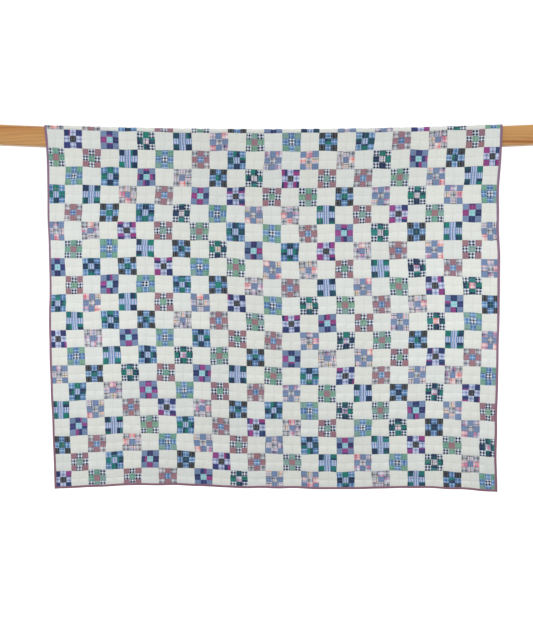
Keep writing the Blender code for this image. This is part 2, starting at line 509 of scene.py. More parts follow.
class Value:
    """One output of a shader's nodes. Sums and products of values add the Math nodes they need."""

    def __init__(self, nodes: "Nodes", socket: bpy.types.NodeSocket) -> None:
        """Keeps the nodes it is part of, and its socket."""
        self.nodes = nodes
        self.socket = socket

    __add__, __radd__ = operator("ADD"), operator("ADD", swapped=True)
    __sub__, __rsub__ = operator("SUBTRACT"), operator("SUBTRACT", swapped=True)
    __mul__, __rmul__ = operator("MULTIPLY"), operator("MULTIPLY", swapped=True)
    __truediv__, __pow__ = operator("DIVIDE"), operator("POWER")
    __lt__, __abs__ = operator("LESS_THAN"), operator("ABSOLUTE")
    least, most = operator("MINIMUM"), operator("MAXIMUM")
    fract, sine = operator("FRACT"), operator("SINE")

    def step(self, start: float, end: float, low: float = 0.0, high: float = 1.0) -> "Value":
        """Soft step from low to high.

        Args:
            start: Where it leaves low.
            end: Where it reaches high.
            low: Its first value.
            high: Its last value.

        Returns:
            The step.
        """
        settings = {"interpolation_type": "SMOOTHSTEP"}
        sockets = {0: self, 1: start, 2: end, 3: low, 4: high}
        return self.nodes.add("ShaderNodeMapRange", settings, sockets)

    def parts(self) -> tuple["Value", "Value", "Value"]:
        """A vector's three numbers."""
        split = self.nodes.add("ShaderNodeSeparateXYZ", {}, {0: self}).socket.node
        return tuple(Value(self.nodes, socket) for socket in split.outputs)


Number = Value | float


class Nodes:
    """The nodes of a material or of the world, and the one way in which a node is added."""

    def __init__(self, owner: bpy.types.Material | bpy.types.World) -> None:
        """Clears the nodes of the material or world."""
        owner.use_nodes = True
        self.owner = owner
        self.tree = owner.node_tree
        self.tree.nodes.clear()

    @classmethod
    def of_material(cls, name: str) -> "Nodes":
        """Starts a new material of that name."""
        return cls(bpy.data.materials.new(name))

    def add(self, kind: str, settings: dict, sockets: dict, output: int = 0) -> Value:
        """Adds a node: its settings first, then the values or links of its sockets.

        Args:
            kind: The node's type.
            settings: Properties of the node.
            sockets: Values or links, by the socket's name or number.
            output: Which output is given back.

        Returns:
            The node's output.
        """
        node = self.tree.nodes.new(kind)
        for key, setting in settings.items():
            setattr(node, key, setting)
        for key, value in sockets.items():
            if isinstance(value, Value):
                self.tree.links.new(value.socket, node.inputs[key])
            else:
                node.inputs[key].default_value = value
        return Value(self, node.outputs[output])

    def uv(self, name: str) -> Value:
        """The piece's UV map of that name."""
        return self.add("ShaderNodeUVMap", {"uv_map": name}, {})

    def attribute(self, name: str) -> Value:
        """The piece's attribute of that name, as a vector or colour."""
        return self.add("ShaderNodeAttribute", {"attribute_name": name}, {}, output=1)

    def place(self) -> Value:
        """The place on the piece, in metres."""
        return self.add("ShaderNodeTexCoord", {}, {}, output=3)

    def noise(
        self, at: Value, fineness: tuple, offset: float = 0.0, detail: float = 2.0
    ) -> Value:
        """Noise about 0.5.

        Args:
            at: Where it is read, in metres.
            fineness: How fine it is along each axis, about once in a metre at 1.
            offset: Added to each axis, to read another part of the noise.
            detail: How many finer layers it has.

        Returns:
            The noise.
        """
        sockets = {0: at, 1: fineness, 2: (offset, offset, offset)}
        vector = self.add("ShaderNodeVectorMath", {"operation": "MULTIPLY_ADD"}, sockets)
        sockets = {"Vector": vector, "Scale": 1.0, "Detail": detail}
        return self.add("ShaderNodeTexNoise", {}, sockets)

    def mix(self, share: Number, first: "Value | tuple", second: "Value | tuple") -> Value:
        """Mixes two colours.

        Args:
            share: How much of the second shows.
            first: The first colour.
            second: The second colour.

        Returns:
            The mixed colour.
        """
        return self.add(
            "ShaderNodeMix",
            {"data_type": "RGBA"},
            {0: share, 6: self.with_alpha(first), 7: self.with_alpha(second)},
            output=2,
        )

    @staticmethod
    def with_alpha(colour: "Value | tuple") -> "Value | tuple":
        """A plain colour with its fourth number; a linked one as it is."""
        return colour if isinstance(colour, Value) else (*colour, 1.0)

    def shade(self, colour: "Value | tuple", by: Number) -> Value:
        """A colour times a number.

        Args:
            colour: The colour.
            by: The number.

        Returns:
            The shaded colour.
        """
        return self.add("ShaderNodeVectorMath", {"operation": "SCALE"}, {0: colour, "Scale": by})

    def finish(
        self, colour: Value, roughness: Number, height: Value, depth: float, constants: dict
    ) -> None:
        """Closes the material with its shader.

        Args:
            colour: Base colour.
            roughness: Roughness.
            height: The relief's height, for its bump.
            depth: The relief's depth in metres.
            constants: Numbers and colours set on the shader's own sockets.
        """
        relief = {"Strength": 1.0, "Distance": depth, "Height": height}
        bump = self.add("ShaderNodeBump", {}, relief)
        sockets = {"Base Color": colour, "Roughness": roughness, "Normal": bump, **constants}
        shader = self.add("ShaderNodeBsdfPrincipled", {}, sockets)
        self.add_output(shader)

    def add_output(self, shader: Value, kind: str = "ShaderNodeOutputMaterial") -> None:
        """Joins a shader to the material's or the world's output."""
        end = self.tree.nodes.new(kind)
        self.tree.links.new(shader.socket, end.inputs["Surface"])


def linear(screen: Array) -> Array:
    """Colours as the eye sees them, from 0 to 255, made linear by the usual screen curve.

    Args:
        screen: The colours.

    Returns:
        The linear colours, from 0 to 1.
    """
    shares = screen / 255.0
    return np.where(shares <= 0.04045, shares / 12.92, ((shares + 0.055) / 1.055) ** 2.4)


def dye(red: int, green: int, blue: int) -> Colour:
    """One dye as the eye sees it, made linear.

    Args:
        red: Red.
        green: Green.
        blue: Blue.

    Returns:
        The linear colour.
    """
    return tuple(float(share) for share in linear(np.array([red, green, blue])))


# -------------------------------------------------------------------------------------- the cloths


@dataclass(frozen=True)
class Yarns:
    """The yarns of one length of cloth, as the eye sees them: ground, two stripes and fine line."""

    ground: Colour
    broad: Colour
    second: Colour
    line: Colour


@dataclass(frozen=True)
class Woven:
    """A yarn-dyed cotton: a row of stripes in its warp and, as far as weft says, in its filling.

    Repeat is in metres, and the stripes' places and widths are shares of it. Stray is how far a cut
    may wander, in repeats, and fade is how far its patches differ in strength.
    """

    yarns: tuple[Yarns, ...]
    repeat: float
    broad: float = 0.0
    second_at: float = 0.5
    second: float = 0.0
    line_at: float = 0.75
    line: float = 0.0
    weft: float = 0.5
    stray: float = 0.5
    turns: bool = True
    fade: float = 0.05


class Cotton(Enum):
    """The cottons that the blocks are cut from."""

    CREAM = Woven(
        (
            Yarns((225, 228, 223), (225, 228, 223), (221, 224, 219), (217, 220, 214)),
            Yarns((226, 228, 222), (225, 227, 221), (221, 223, 217), (217, 219, 213)),
            Yarns((224, 228, 225), (224, 228, 224), (220, 224, 220), (216, 220, 216)),
        ),
        repeat=0.027, second_at=0.20, second=0.05, line_at=0.70, line=0.06, stray=0.5, fade=0.025,
    )
    PLUM = Woven(
        (
            Yarns((46, 64, 110), (150, 68, 134), (54, 62, 112), (96, 140, 156)),
            Yarns((44, 58, 104), (146, 62, 126), (52, 56, 110), (54, 62, 114)),
            Yarns((54, 64, 118), (150, 72, 140), (62, 60, 116), (84, 66, 130)),
            Yarns((42, 58, 98), (140, 64, 126), (46, 54, 96), (52, 64, 108)),
        ),
        repeat=0.088, broad=0.37, second_at=0.47, second=0.06, line_at=0.80, line=0.012, weft=0.05,
    )
    LAVENDER = Woven(
        (
            Yarns((168, 181, 212), (150, 160, 200), (82, 88, 144), (216, 225, 244)),
            Yarns((178, 190, 220), (158, 168, 206), (96, 102, 160), (222, 230, 246)),
        ),
        repeat=0.0205, broad=0.34, second_at=0.17, second=0.19, line_at=0.68, line=0.14, stray=0.20,
    )
    CHARCOAL = Woven(
        (
            Yarns((42, 46, 53), (56, 60, 66), (124, 128, 132), (28, 32, 40)),
            Yarns((46, 50, 57), (62, 66, 70), (108, 112, 116), (28, 32, 42)),
        ),
        repeat=0.0147, broad=0.30, second_at=0.55, second=0.15, line_at=0.80, line=0.2, weft=0.24,
        stray=0.2, turns=False,
    )
    GINGHAM = Woven(
        (
            Yarns((226, 236, 250), (12, 24, 54), (226, 236, 250), (226, 236, 250)),
            Yarns((220, 230, 245), (16, 28, 58), (220, 230, 245), (220, 230, 245)),
        ),
        repeat=0.01467, broad=0.57, stray=0.22, weft=0.46, turns=False, fade=0.03,
    )
    BOTTLE = Woven(
        (
            Yarns((30, 124, 112), (35, 56, 88), (38, 90, 106), (42, 84, 104)),
            Yarns((32, 129, 114), (34, 54, 86), (40, 84, 104), (52, 122, 122)),
            Yarns((30, 118, 108), (42, 62, 93), (36, 88, 102), (200, 136, 134)),
            Yarns((36, 124, 114), (38, 58, 88), (44, 66, 96), (42, 106, 112)),
            Yarns((40, 128, 124), (37, 60, 89), (84, 130, 144), (44, 110, 118)),
        ),
        repeat=0.080, broad=0.54, second_at=0.58, second=0.06, line_at=0.84, line=0.018, weft=0.24,
    )
    MADRAS = Woven(
        (
            Yarns((150, 160, 194), (222, 218, 228), (222, 112, 134), (96, 90, 130)),
            Yarns((232, 180, 180), (232, 222, 220), (228, 104, 98), (134, 124, 170)),
            Yarns((226, 222, 226), (156, 162, 194), (52, 38, 56), (226, 160, 170)),
            Yarns((226, 222, 216), (176, 180, 200), (108, 116, 56), (230, 122, 108)),
            Yarns((134, 146, 186), (216, 210, 218), (52, 52, 68), (224, 100, 124)),
            Yarns((226, 142, 154), (232, 206, 206), (142, 136, 180), (186, 66, 94)),
            Yarns((228, 226, 228), (186, 176, 192), (46, 34, 50), (128, 132, 172)),
        ),
        repeat=0.034, broad=0.36, second_at=0.56, second=0.17, line_at=0.84, line=0.10, weft=0.40,
    )
    GREY = Woven(
        (
            Yarns((148, 152, 164), (200, 204, 212), (38, 40, 50), (124, 128, 142)),
            Yarns((160, 163, 174), (206, 209, 216), (68, 72, 86), (112, 116, 130)),
            Yarns((134, 138, 150), (194, 198, 206), (30, 32, 42), (210, 206, 204)),
            Yarns((174, 176, 184), (214, 216, 220), (70, 74, 84), (178, 140, 154)),
        ),
        repeat=0.0225, broad=0.38, second_at=0.56, second=0.18, line_at=0.82, line=0.11,
    )
    CHAMBRAY = Woven(
        (
            Yarns((112, 134, 171), (124, 145, 180), (98, 121, 158), (108, 137, 168)),
            Yarns((118, 140, 174), (128, 148, 181), (104, 125, 158), (114, 134, 171)),
            Yarns((114, 130, 169), (122, 146, 178), (101, 117, 155), (120, 136, 170)),
        ),
        repeat=0.0120, broad=0.40, second_at=0.70, second=0.20, line_at=0.90, line=0.1, fade=0.06,
    )
    SKY = Woven(
        (
            Yarns((114, 156, 198), (92, 132, 180), (48, 84, 138), (194, 214, 232)),
            Yarns((124, 164, 204), (100, 142, 188), (60, 98, 150), (206, 222, 238)),
            Yarns((106, 146, 192), (84, 122, 172), (36, 66, 116), (178, 202, 226)),
        ),
        repeat=0.0172, broad=0.32, second_at=0.44, second=0.18, line_at=0.74, line=0.14, weft=0.36,
        stray=0.35,
    )
    STRIPE = Woven(
        (Yarns((196, 210, 230), (72, 126, 184), (210, 176, 188), (132, 148, 196)),),
        repeat=0.0117, broad=0.40, second_at=0.62, second=0.11, line_at=0.86, line=0.10, weft=0.10,
        stray=0.12, turns=False,
    )
    ROSE = Woven(
        (
            Yarns((152, 116, 128), (163, 129, 140), (132, 94, 112), (142, 103, 121)),
            Yarns((156, 116, 125), (165, 129, 137), (137, 98, 110), (136, 98, 118)),
        ),
        repeat=0.0098, broad=0.40, second_at=0.72, second=0.24, fade=0.06,
    )
    SAGE = Woven(
        (
            Yarns((100, 153, 134), (116, 163, 148), (84, 134, 118), (138, 173, 163)),
            Yarns((116, 155, 147), (132, 165, 160), (98, 140, 132), (152, 177, 175)),
            Yarns((106, 156, 134), (130, 168, 150), (88, 138, 118), (150, 176, 160)),
        ),
        repeat=0.0293, broad=0.44, second_at=0.60, second=0.12, line_at=0.80, line=0.16, stray=0.4,
    )
    AQUA = Woven(
        (
            Yarns((148, 202, 210), (162, 212, 218), (120, 180, 194), (182, 220, 225)),
            Yarns((146, 194, 209), (160, 206, 218), (116, 168, 193), (178, 213, 225)),
        ),
        repeat=0.0147, broad=0.34, second_at=0.60, second=0.14,
    )


class NinePatch(Enum):
    """The pieced blocks: the cottons of their four corners, their four sides and their middle."""

    A = (Cotton.PLUM, Cotton.LAVENDER, Cotton.CHARCOAL)
    B = (Cotton.GINGHAM, Cotton.BOTTLE, Cotton.MADRAS)
    C = (Cotton.MADRAS, Cotton.CHAMBRAY, Cotton.GREY)
    D = (Cotton.SKY, Cotton.BOTTLE, Cotton.STRIPE)
    E = (Cotton.GREY, Cotton.MADRAS, Cotton.CHAMBRAY)
    F = (Cotton.ROSE, Cotton.GINGHAM, Cotton.SAGE)
    G = (Cotton.SAGE, Cotton.SKY, Cotton.GINGHAM)
    H = (Cotton.GREY, Cotton.ROSE, Cotton.SKY)
    I = (Cotton.GINGHAM, Cotton.SAGE, Cotton.ROSE)  # noqa: E741  the block's letter
    J = (Cotton.BOTTLE, Cotton.STRIPE, Cotton.STRIPE)
    K = (Cotton.CHAMBRAY, Cotton.PLUM, Cotton.AQUA)
    L = (Cotton.CHARCOAL, Cotton.SKY, Cotton.BOTTLE)
    M = (Cotton.CHAMBRAY, Cotton.MADRAS, Cotton.GREY)


SHUFFLES = 400  # orders tried for each row of blocks
PATCHES = 3  # patches along each side of a pieced block
YARNS = ("ground", "broad", "second", "line")
WHOLE_REPEATS = 50.0  # added to the cloths' places, so that none is below nothing


@dataclass
class QuiltTop(Piece):
    """The pieced and quilted top of the quilt, from the front hem over the beam to the back hem."""

    name: str = "quilt_top"
    seed: int = 41
    tuck: float = 0.0022
    parts: tuple[float, ...] = (0.0, 0.08, 0.25, 1 / 3, 0.45, 0.5, 0.55, 2 / 3, 0.75, 0.92)
    turn_steps: int = 7
    closest: float = 0.0016
    line_height: float = 0.0002
    upper_rise: float = 0.40
    lap_start: float = 0.84
    slack: float = 0.35
    slack_length: float = 0.11
    least_pull: float = 0.4
    most_pull: float = 1.2
    seam_sink: float = 0.00055
    seam_half: float = 0.0035
    patch_sink: float = 0.00040
    patch_half: float = 0.0025
    crinkle: float = 0.00050
    crinkle_length: float = 0.034
    small_crinkle_length: float = 0.016
    edge_slope: float = 0.014
    stray: float = 0.0022
    stray_length: float = 0.13
    stray_margin: float = 0.05
    slip: float = 0.0023
    askew: float = 1.6

    def lines(self, blocks: int, size: float) -> Array:
        """The mesh's lines along one side: the same parts of every block, tucked in at both ends.

        Args:
            blocks: How many blocks there are.
            size: A block's size.

        Returns:
            Distances from the first edge.
        """
        made = ((np.arange(blocks)[:, None] + np.array(self.parts)) * size).ravel()
        made[0] = self.tuck
        return np.append(made, blocks * size - self.tuck)

    def up_lines(self) -> Array:
        """The lines across the quilt, with more of them where it turns over the beam's edges.

        Returns:
            Distances up from the front hem.
        """
        made = self.lines(ROWS, BLOCK_LENGTH)
        turn = np.linspace(0.0, ARC_LENGTH, self.turn_steps)
        extra = np.concatenate([LIP + turn, LIP + OVER_LENGTH - turn])
        seams = np.arange(ROWS * PATCHES + 1) * BLOCK_LENGTH / PATCHES
        near_seam = np.abs(extra[:, None] - seams).min(axis=1) < self.closest
        extra = extra[~near_seam]
        is_seam = np.abs(made[:, None] - seams).min(axis=1) < 1e-6
        near_extra = np.abs(made[:, None] - extra).min(axis=1) < self.closest
        return np.sort(np.concatenate([made[is_seam | ~near_extra], extra]))

    def relief(self, across: Array, up: Array) -> Array:
        """Height off the batting's middle: pillows between quilting lines, with seams and crinkles.

        The pillow rises from line_height at the lines through the blocks' middles to PADDED half a
        block away, as one less the fifth power of the share still to go. Above a line that runs
        across, it rises by the share upper_rise alone, and passes to the next block's height at the
        seam. The lines pull harder in some places than in others. Seams sink in narrow notches.

        Args:
            across: Metres from the quilt's left edge.
            up: Metres from the front hem.

        Returns:
            The height.
        """
        from_line = [
            np.abs((place / size) % 1.0 - 0.5) * 2.0
            for place, size in ((across, BLOCK_WIDTH), (up, BLOCK_LENGTH))
        ]
        above = (up / BLOCK_LENGTH) % 1.0 > 0.5
        over_seam = 0.5 * ease((from_line[1] - self.lap_start) / (1.0 - self.lap_start))
        share = np.where(above, self.upper_rise + (1.0 - self.upper_rise) * over_seam, 1.0)
        share = share - np.where(above, 0.0, (1.0 - self.upper_rise) * over_seam)
        pillow = (1.0 - (1.0 - from_line[0]) ** 5) * (1.0 - (1.0 - from_line[1]) ** 5) * share
        pull = 1.0 + self.slack * ripples(across, up, self.slack_length, self.seed + 4)
        pull = np.clip(pull, self.least_pull, self.most_pull)
        height = PADDED - (PADDED - self.line_height) * (1.0 - pillow) * pull
        for place, size in ((across, BLOCK_WIDTH), (up, BLOCK_LENGTH)):
            height = height - self.seam_sink * notch(place, size, 0.0, self.seam_half)
        large = ripples(across, up, self.crinkle_length, self.seed)
        small = ripples(across, up, self.small_crinkle_length, self.seed + 1)
        height = height + self.crinkle * large + 0.5 * self.crinkle * small
        flat = 1.0 - ease((from_edge(across, up) - BINDING_REACH) / self.edge_slope)
        return height + flat * (EDGE_FRONT - height)

    def patch_seams(self, across: Array, up: Array, pieced: Array) -> Array:
        """The notches along the seams inside the pieced blocks.

        Args:
            across: Metres from the quilt's left edge.
            up: Metres from the front hem.
            pieced: 1 where the point is in a pieced block, and 0 elsewhere.

        Returns:
            How far the top sinks.
        """
        upright = notch(across, BLOCK_WIDTH / PATCHES, 0.0, self.patch_half)
        level = notch(up, BLOCK_LENGTH / PATCHES, 0.0, self.patch_half)
        return pieced * np.maximum(upright, level) * self.patch_sink

    def block_kinds(self) -> Array:
        """Which block stands where: -1 for a plain one, otherwise the pieced block's number.

        The pieced blocks stand in every second place. Each row is a shuffle of its own with every
        kind once, and the last kind only where a row has a place more. Of many shuffles a row takes
        the one with the fewest blocks like those that touch them or stand two rows before.

        Returns:
            Numbers of shape (ROWS, COLUMNS), the front hem's row first.
        """
        draw = np.random.default_rng(self.seed + 6)
        made = np.full((ROWS, COLUMNS), -1)
        for row in range(ROWS):
            places = np.arange((FRONT_ROWS - row) % 2, COLUMNS, 2)
            tries = draw.permuted(np.tile(np.arange(places.size), (SHUFFLES, 1)), axis=1)
            before = made[row - 1]
            near = (np.roll(before, 1), np.roll(before, -1), made[row - 2])
            alike = sum((tries == other[places]).sum(axis=1) for other in near)
            made[row, places] = tries[np.argmin(alike)]
        return made

    def cells(self) -> dict[str, Array]:
        """Cuts every patch: which cotton it is, its yarns, and where and how it was cut.

        Returns:
            Arrays of shape (ROWS * 3, COLUMNS * 3, ...), by name.
        """
        draw = np.random.default_rng(self.seed)
        cottons = list(Cotton)
        kinds = self.block_kinds()
        table = np.array([[cottons.index(cotton) for cotton in kind.value] for kind in NinePatch])
        spot = np.array([[0, 1, 0], [1, 2, 1], [0, 1, 0]])
        shape = (ROWS * PATCHES, COLUMNS * PATCHES)
        spread = np.kron(kinds, np.ones((PATCHES, PATCHES), dtype=int))
        spots = np.tile(spot, (ROWS, COLUMNS))
        cloth = np.where(spread < 0, cottons.index(Cotton.CREAM), table[spread, spots])

        def drawn(low: float, high: float) -> Array:
            """One number for each patch, and the same for all of a plain block."""
            each = draw.uniform(low, high, shape)
            block = np.kron(draw.uniform(low, high, kinds.shape), np.ones((PATCHES, PATCHES)))
            return np.where(spread < 0, block, each)

        def told(name: str) -> Array:
            """One of the cloths' numbers, for each patch."""
            return np.array([float(getattr(cotton.value, name)) for cotton in cottons])[cloth]

        lengths = [cotton.value.yarns for cotton in cottons]
        most = max(len(ways) for ways in lengths)
        screen = [[astuple(ways[way % len(ways)]) for way in range(most)] for ways in lengths]
        way = np.minimum((drawn(0.0, 1.0) * most).astype(int), most - 1)
        shade = 1.0 + told("fade") * drawn(-1.0, 1.0)
        yarns = linear(np.array(screen))[cloth, way] * shade[..., None, None]
        turns = (drawn(0.0, 1.0) < 0.5) & (told("turns") > 0.5)
        return {
            "pieced": (spread >= 0).astype(float),
            "yarns": yarns,
            "stripes": np.stack([told("broad"), told("second_at"), told("second")], axis=-1),
            "fine": np.stack([told("line_at"), told("line"), told("weft")], axis=-1),
            "repeat": told("repeat"),
            "shift": np.stack([told("stray") * drawn(-1, 1) for _ in range(2)], axis=-1),
            "turn": np.where(turns, math.pi / 2, 0.0) + math.radians(self.askew) * drawn(-1.0, 1.0),
        }

    def build(self) -> None:
        """Makes the top: a grid on the blocks' lines, given its relief and hung over the beam."""
        across_line = self.lines(COLUMNS, BLOCK_WIDTH)
        up_line = self.up_lines()
        up, across = np.meshgrid(up_line, across_line, indexing="ij")
        cells = self.cells()
        row = np.clip((up / BLOCK_LENGTH).astype(int), 0, ROWS - 1)
        column = np.clip((across / BLOCK_WIDTH).astype(int), 0, COLUMNS - 1)
        pieced = cells["pieced"][row * PATCHES, column * PATCHES]
        off = self.relief(across, up) - self.patch_seams(across, up, pieced)
        free = self.stray * ease((from_edge(across, up) - BINDING_REACH) / self.stray_margin)
        aside, upwards = (
            ripples(across, up, self.stray_length, self.seed + more) for more in (2, 3)
        )
        slipped = ease(up / BLOCK_LENGTH) * ease((LENGTH - up) / BLOCK_LENGTH)
        moved_up = up + free * upwards - self.slip * slipped
        points = DRAPE.place(across + free * aside - WIDTH / 2, moved_up, off)
        self.piece = grid_mesh(self.name, points)
        self.map_faces(across_line, up_line, cells)
        self.fit("quilt_body", "cotton")

    def map_faces(self, across_line: Array, up_line: Array, cells: dict[str, Array]) -> None:
        """Gives the faces their patches' yarns, and the UV maps that the cloth is laid out by.

        Args:
            across_line: The mesh's lines from the left edge.
            up_line: The mesh's lines from the front hem.
            cells: What each patch is cut from.
        """
        mesh = self.piece.data
        flat = flat_corners(mesh, across_line, up_line)
        rows = (up_line[:-1] + up_line[1:]) / 2 / BLOCK_LENGTH * PATCHES
        columns = (across_line[:-1] + across_line[1:]) / 2 / BLOCK_WIDTH * PATCHES
        grid = np.meshgrid(rows, columns, indexing="ij")
        face_row, face_column = (part.ravel().astype(int) for part in grid)
        yarns = cells["yarns"][face_row, face_column]
        for number, name in enumerate(YARNS):
            put_on_faces(mesh, name, yarns[:, number])
        for name in ("stripes", "fine"):
            put_on_faces(mesh, name, cells[name][face_row, face_column])
        pieced = cells["pieced"][face_row, face_column]
        put_on_faces(mesh, "pieced", np.stack([pieced, pieced, pieced], axis=-1))
        faces = np.repeat(np.arange(len(mesh.polygons)), 4)
        size = np.array([BLOCK_WIDTH, BLOCK_LENGTH]) / PATCHES
        centre = (np.stack([face_column, face_row], axis=-1)[faces] + 0.5) * size
        plain = pieced[faces] < 0.5
        block = np.floor(np.stack([face_column, face_row], axis=-1)[faces] / PATCHES)
        centre[plain] = (block[plain] + 0.5) * size * PATCHES
        turn = cells["turn"][face_row, face_column][faces]
        from_centre = flat - centre
        cosine, sine = np.cos(turn), np.sin(turn)
        first = cosine * from_centre[:, 0] - sine * from_centre[:, 1]
        second = sine * from_centre[:, 0] + cosine * from_centre[:, 1]
        repeat = cells["repeat"][face_row, face_column][faces][:, None]
        shift = cells["shift"][face_row, face_column][faces] + WHOLE_REPEATS
        put_uv(mesh, "cloth", np.stack([first, second], axis=-1) / repeat + shift)
        put_flat(mesh, flat)


@dataclass(frozen=True)
class CottonFinish:
    """What the quilt's cottons share: slubs in both yarns, running stitches, and a faint sheen."""

    stitch: float = 0.0052
    stitch_share: float = 0.56
    stitch_rise: float = 0.8
    thread_half: float = 0.00030
    thread_cover: float = 0.55
    dimple_half: float = 0.0040
    slub: float = 1300.0
    slub_length: float = 260.0
    slub_shade: float = 0.10
    slub_rise: float = 0.35
    tone: float = 0.985
    wear: float = 0.05
    pucker: float = 150.0
    pucker_rise: float = 1.6
    roughness: float = 0.88
    slub_roughness: float = 0.08
    depth: float = 0.00035
    sheen: float = 0.10

    def slubs(self, nodes: Nodes, flat: Value) -> tuple[Value, Value]:
        """Thick places in the yarns: noise drawn out up the cloth, and across it.

        Args:
            nodes: The material's nodes.
            flat: The place on the flat cloth, in metres.

        Returns:
            Both noises, about 0.5.
        """
        thin, long = self.slub, self.slub_length
        up = nodes.noise(flat, (thin, long, 1.0), detail=1.0)
        across = nodes.noise(flat, (long, thin, 1.0), 7.0, detail=1.0)
        return up, across

    def quilting(self, across: Value, up: Value) -> tuple[Value, Value, Value]:
        """Running stitches along the lines through every block's middle.

        Args:
            across: Metres across the cloth.
            up: Metres up the cloth.

        Returns:
            1 on the thread and 0 elsewhere, the distance to the nearest line, and its dimple.
        """
        beside = abs((across / BLOCK_WIDTH).fract() - 0.5) * BLOCK_WIDTH
        level = abs((up / BLOCK_LENGTH).fract() - 0.5) * BLOCK_LENGTH
        upright = (beside < self.thread_half) * ((up / self.stitch).fract() < self.stitch_share)
        lying = (level < self.thread_half) * ((across / self.stitch).fract() < self.stitch_share)
        near_line = beside.least(level)
        return upright.most(lying), near_line, 1.0 - near_line.step(0.0, self.dimple_half)

    def shade(self, worn: Value, slubs: Value) -> Value:
        """How light the cloth is: its tone, with its wear and slubs about it."""
        return self.tone + self.wear * (worn - 0.5) + self.slub_shade * (slubs - 1.0)

    def relief(self, nodes: Nodes, flat: Value, slubs: Value, stitches: Value) -> Value:
        """The slubs' and puckers' height, with the thread's on it.

        Args:
            nodes: The material's nodes.
            flat: The place on the flat cloth, in metres.
            slubs: Both yarns' slubs.
            stitches: 1 on the thread and 0 elsewhere.

        Returns:
            The height.
        """
        puckers = nodes.noise(flat, (self.pucker, self.pucker, 1.0), 11.0)
        return self.slub_rise * slubs + self.pucker_rise * puckers + self.stitch_rise * stitches

    def close(
        self, nodes: Nodes, colour: Value, slub_up: Value, height: Value
    ) -> bpy.types.Material:
        """Closes a cotton's material.

        Args:
            nodes: The material's nodes.
            colour: Base colour.
            slub_up: The warp's slubs, which are rougher.
            height: The relief's height.

        Returns:
            The material.
        """
        roughness = self.roughness + self.slub_roughness * (slub_up - 0.5)
        sheen = {"Sheen Weight": self.sheen, "Sheen Roughness": 0.6, "Specular IOR Level": 0.25}
        nodes.finish(colour, roughness, height, self.depth, sheen)
        return nodes.owner


@dataclass(frozen=True)
class PiecedCotton(CottonFinish):
    """Yarn-dyed cottons, washed soft, pieced, quilted, with painted shade in seams and creases."""

    thread: Colour = dye(214, 212, 204)
    yarn_pitch: float = 0.0009
    yarn_rise: float = 0.10
    filling_show: float = 0.9
    mottle: float = 0.05
    seam_half: float = 0.0016
    # painted shade: how much darker the colour is along the seams
    painted_seam_shade: float = 0.13
    seam_sink: float = 0.8
    # painted shade: width and depth of the darkening along the quilting lines
    painted_line_shade_half: float = 0.0022
    painted_line_shade: float = 0.07

    @staticmethod
    def stripes(nodes: Nodes, at: Value, yarns: dict[str, Value], plan: tuple) -> Value:
        """One set of yarns: the ground, with the broad and second stripes and the line on it.

        Args:
            nodes: The material's nodes.
            at: Place across the yarns, in repeats.
            yarns: The four colours.
            plan: The broad stripe's width, then places and widths of the second and the line.

        Returns:
            The colour.
        """
        broad, second_at, second, line_at, line = plan
        share = at.fract()
        colour = nodes.mix(share < broad, yarns["ground"], yarns["broad"])
        colour = nodes.mix(abs(share - second_at) < second * 0.5, colour, yarns["second"])
        return nodes.mix(abs(share - line_at) < line * 0.5, colour, yarns["line"])

    @staticmethod
    def to_seam(across: Value, up: Value, parts: int) -> Value:
        """Distance to the nearest seam where each block is cut into parts, in metres."""
        wide, long = BLOCK_WIDTH / parts, BLOCK_LENGTH / parts
        beside = (0.5 - abs((across / wide).fract() - 0.5)) * wide
        return beside.least((0.5 - abs((up / long).fract() - 0.5)) * long)

    def cloth(self, nodes: Nodes, slub_up: Value, slub_across: Value) -> Value:
        """The woven colours: the warp's stripes, with the filling's over them where its slubs are.

        Args:
            nodes: The material's nodes.
            slub_up: Slubs of the warp.
            slub_across: Slubs of the filling.

        Returns:
            The colour.
        """
        warp_at, weft_at, _ = nodes.uv("cloth").parts()
        yarns = {name: nodes.attribute(name) for name in YARNS}
        broad, second_at, second = nodes.attribute("stripes").parts()
        line_at, line, weft = nodes.attribute("fine").parts()
        plan = (broad, second_at, second, line_at, line)
        warp, filling = (self.stripes(nodes, at, yarns, plan) for at in (warp_at, weft_at))
        share = weft * (1.0 + self.filling_show * (slub_across - slub_up))
        return nodes.mix(share, warp, filling)

    def make(self) -> bpy.types.Material:
        """Makes the material."""
        nodes = Nodes.of_material("pieced_cotton")
        flat = nodes.uv("flat")
        across, up, _ = flat.parts()
        pieced, _, _ = nodes.attribute("pieced").parts()
        slub_up, slub_across = self.slubs(nodes, flat)
        cloth = self.cloth(nodes, slub_up, slub_across)

        worn = nodes.noise(flat, (5.0, 5.0, 1.0), detail=3.0)
        mottled = nodes.noise(flat, (60.0, 60.0, 1.0), 3.0)
        shade = self.shade(worn, slub_up + slub_across) + self.mottle * (mottled - 0.5)
        to_patch = self.to_seam(across, up, PATCHES) + (1.0 - pieced)
        to_seam = self.to_seam(across, up, 1).least(to_patch)
        # painted shade: the colour darkens along every seam, where shade falls in its ditch; the
        # same mask sinks the bump
        seam = 1.0 - to_seam.step(0.0, self.seam_half)
        shade = shade * (1.0 - self.painted_seam_shade * seam)
        stitches, near_line, dimple = self.quilting(across, up)
        # painted shade: the colour darkens along the quilting lines, where shade falls in their
        # creases
        shade = shade * (1.0 - self.painted_line_shade * (1.0 - near_line.step(0.0, self.painted_line_shade_half)))
        stitched = self.thread_cover * stitches
        colour = nodes.mix(stitched, nodes.shade(cloth, shade), self.thread)

        pitch = 2.0 * math.pi / self.yarn_pitch
        weave = (across * pitch).sine() * (up * pitch).sine()
        height = self.relief(nodes, flat, slub_up + slub_across, stitches) - dimple
        height = height + self.yarn_rise * weave - self.seam_sink * seam
        return self.close(nodes, colour, slub_up, height)


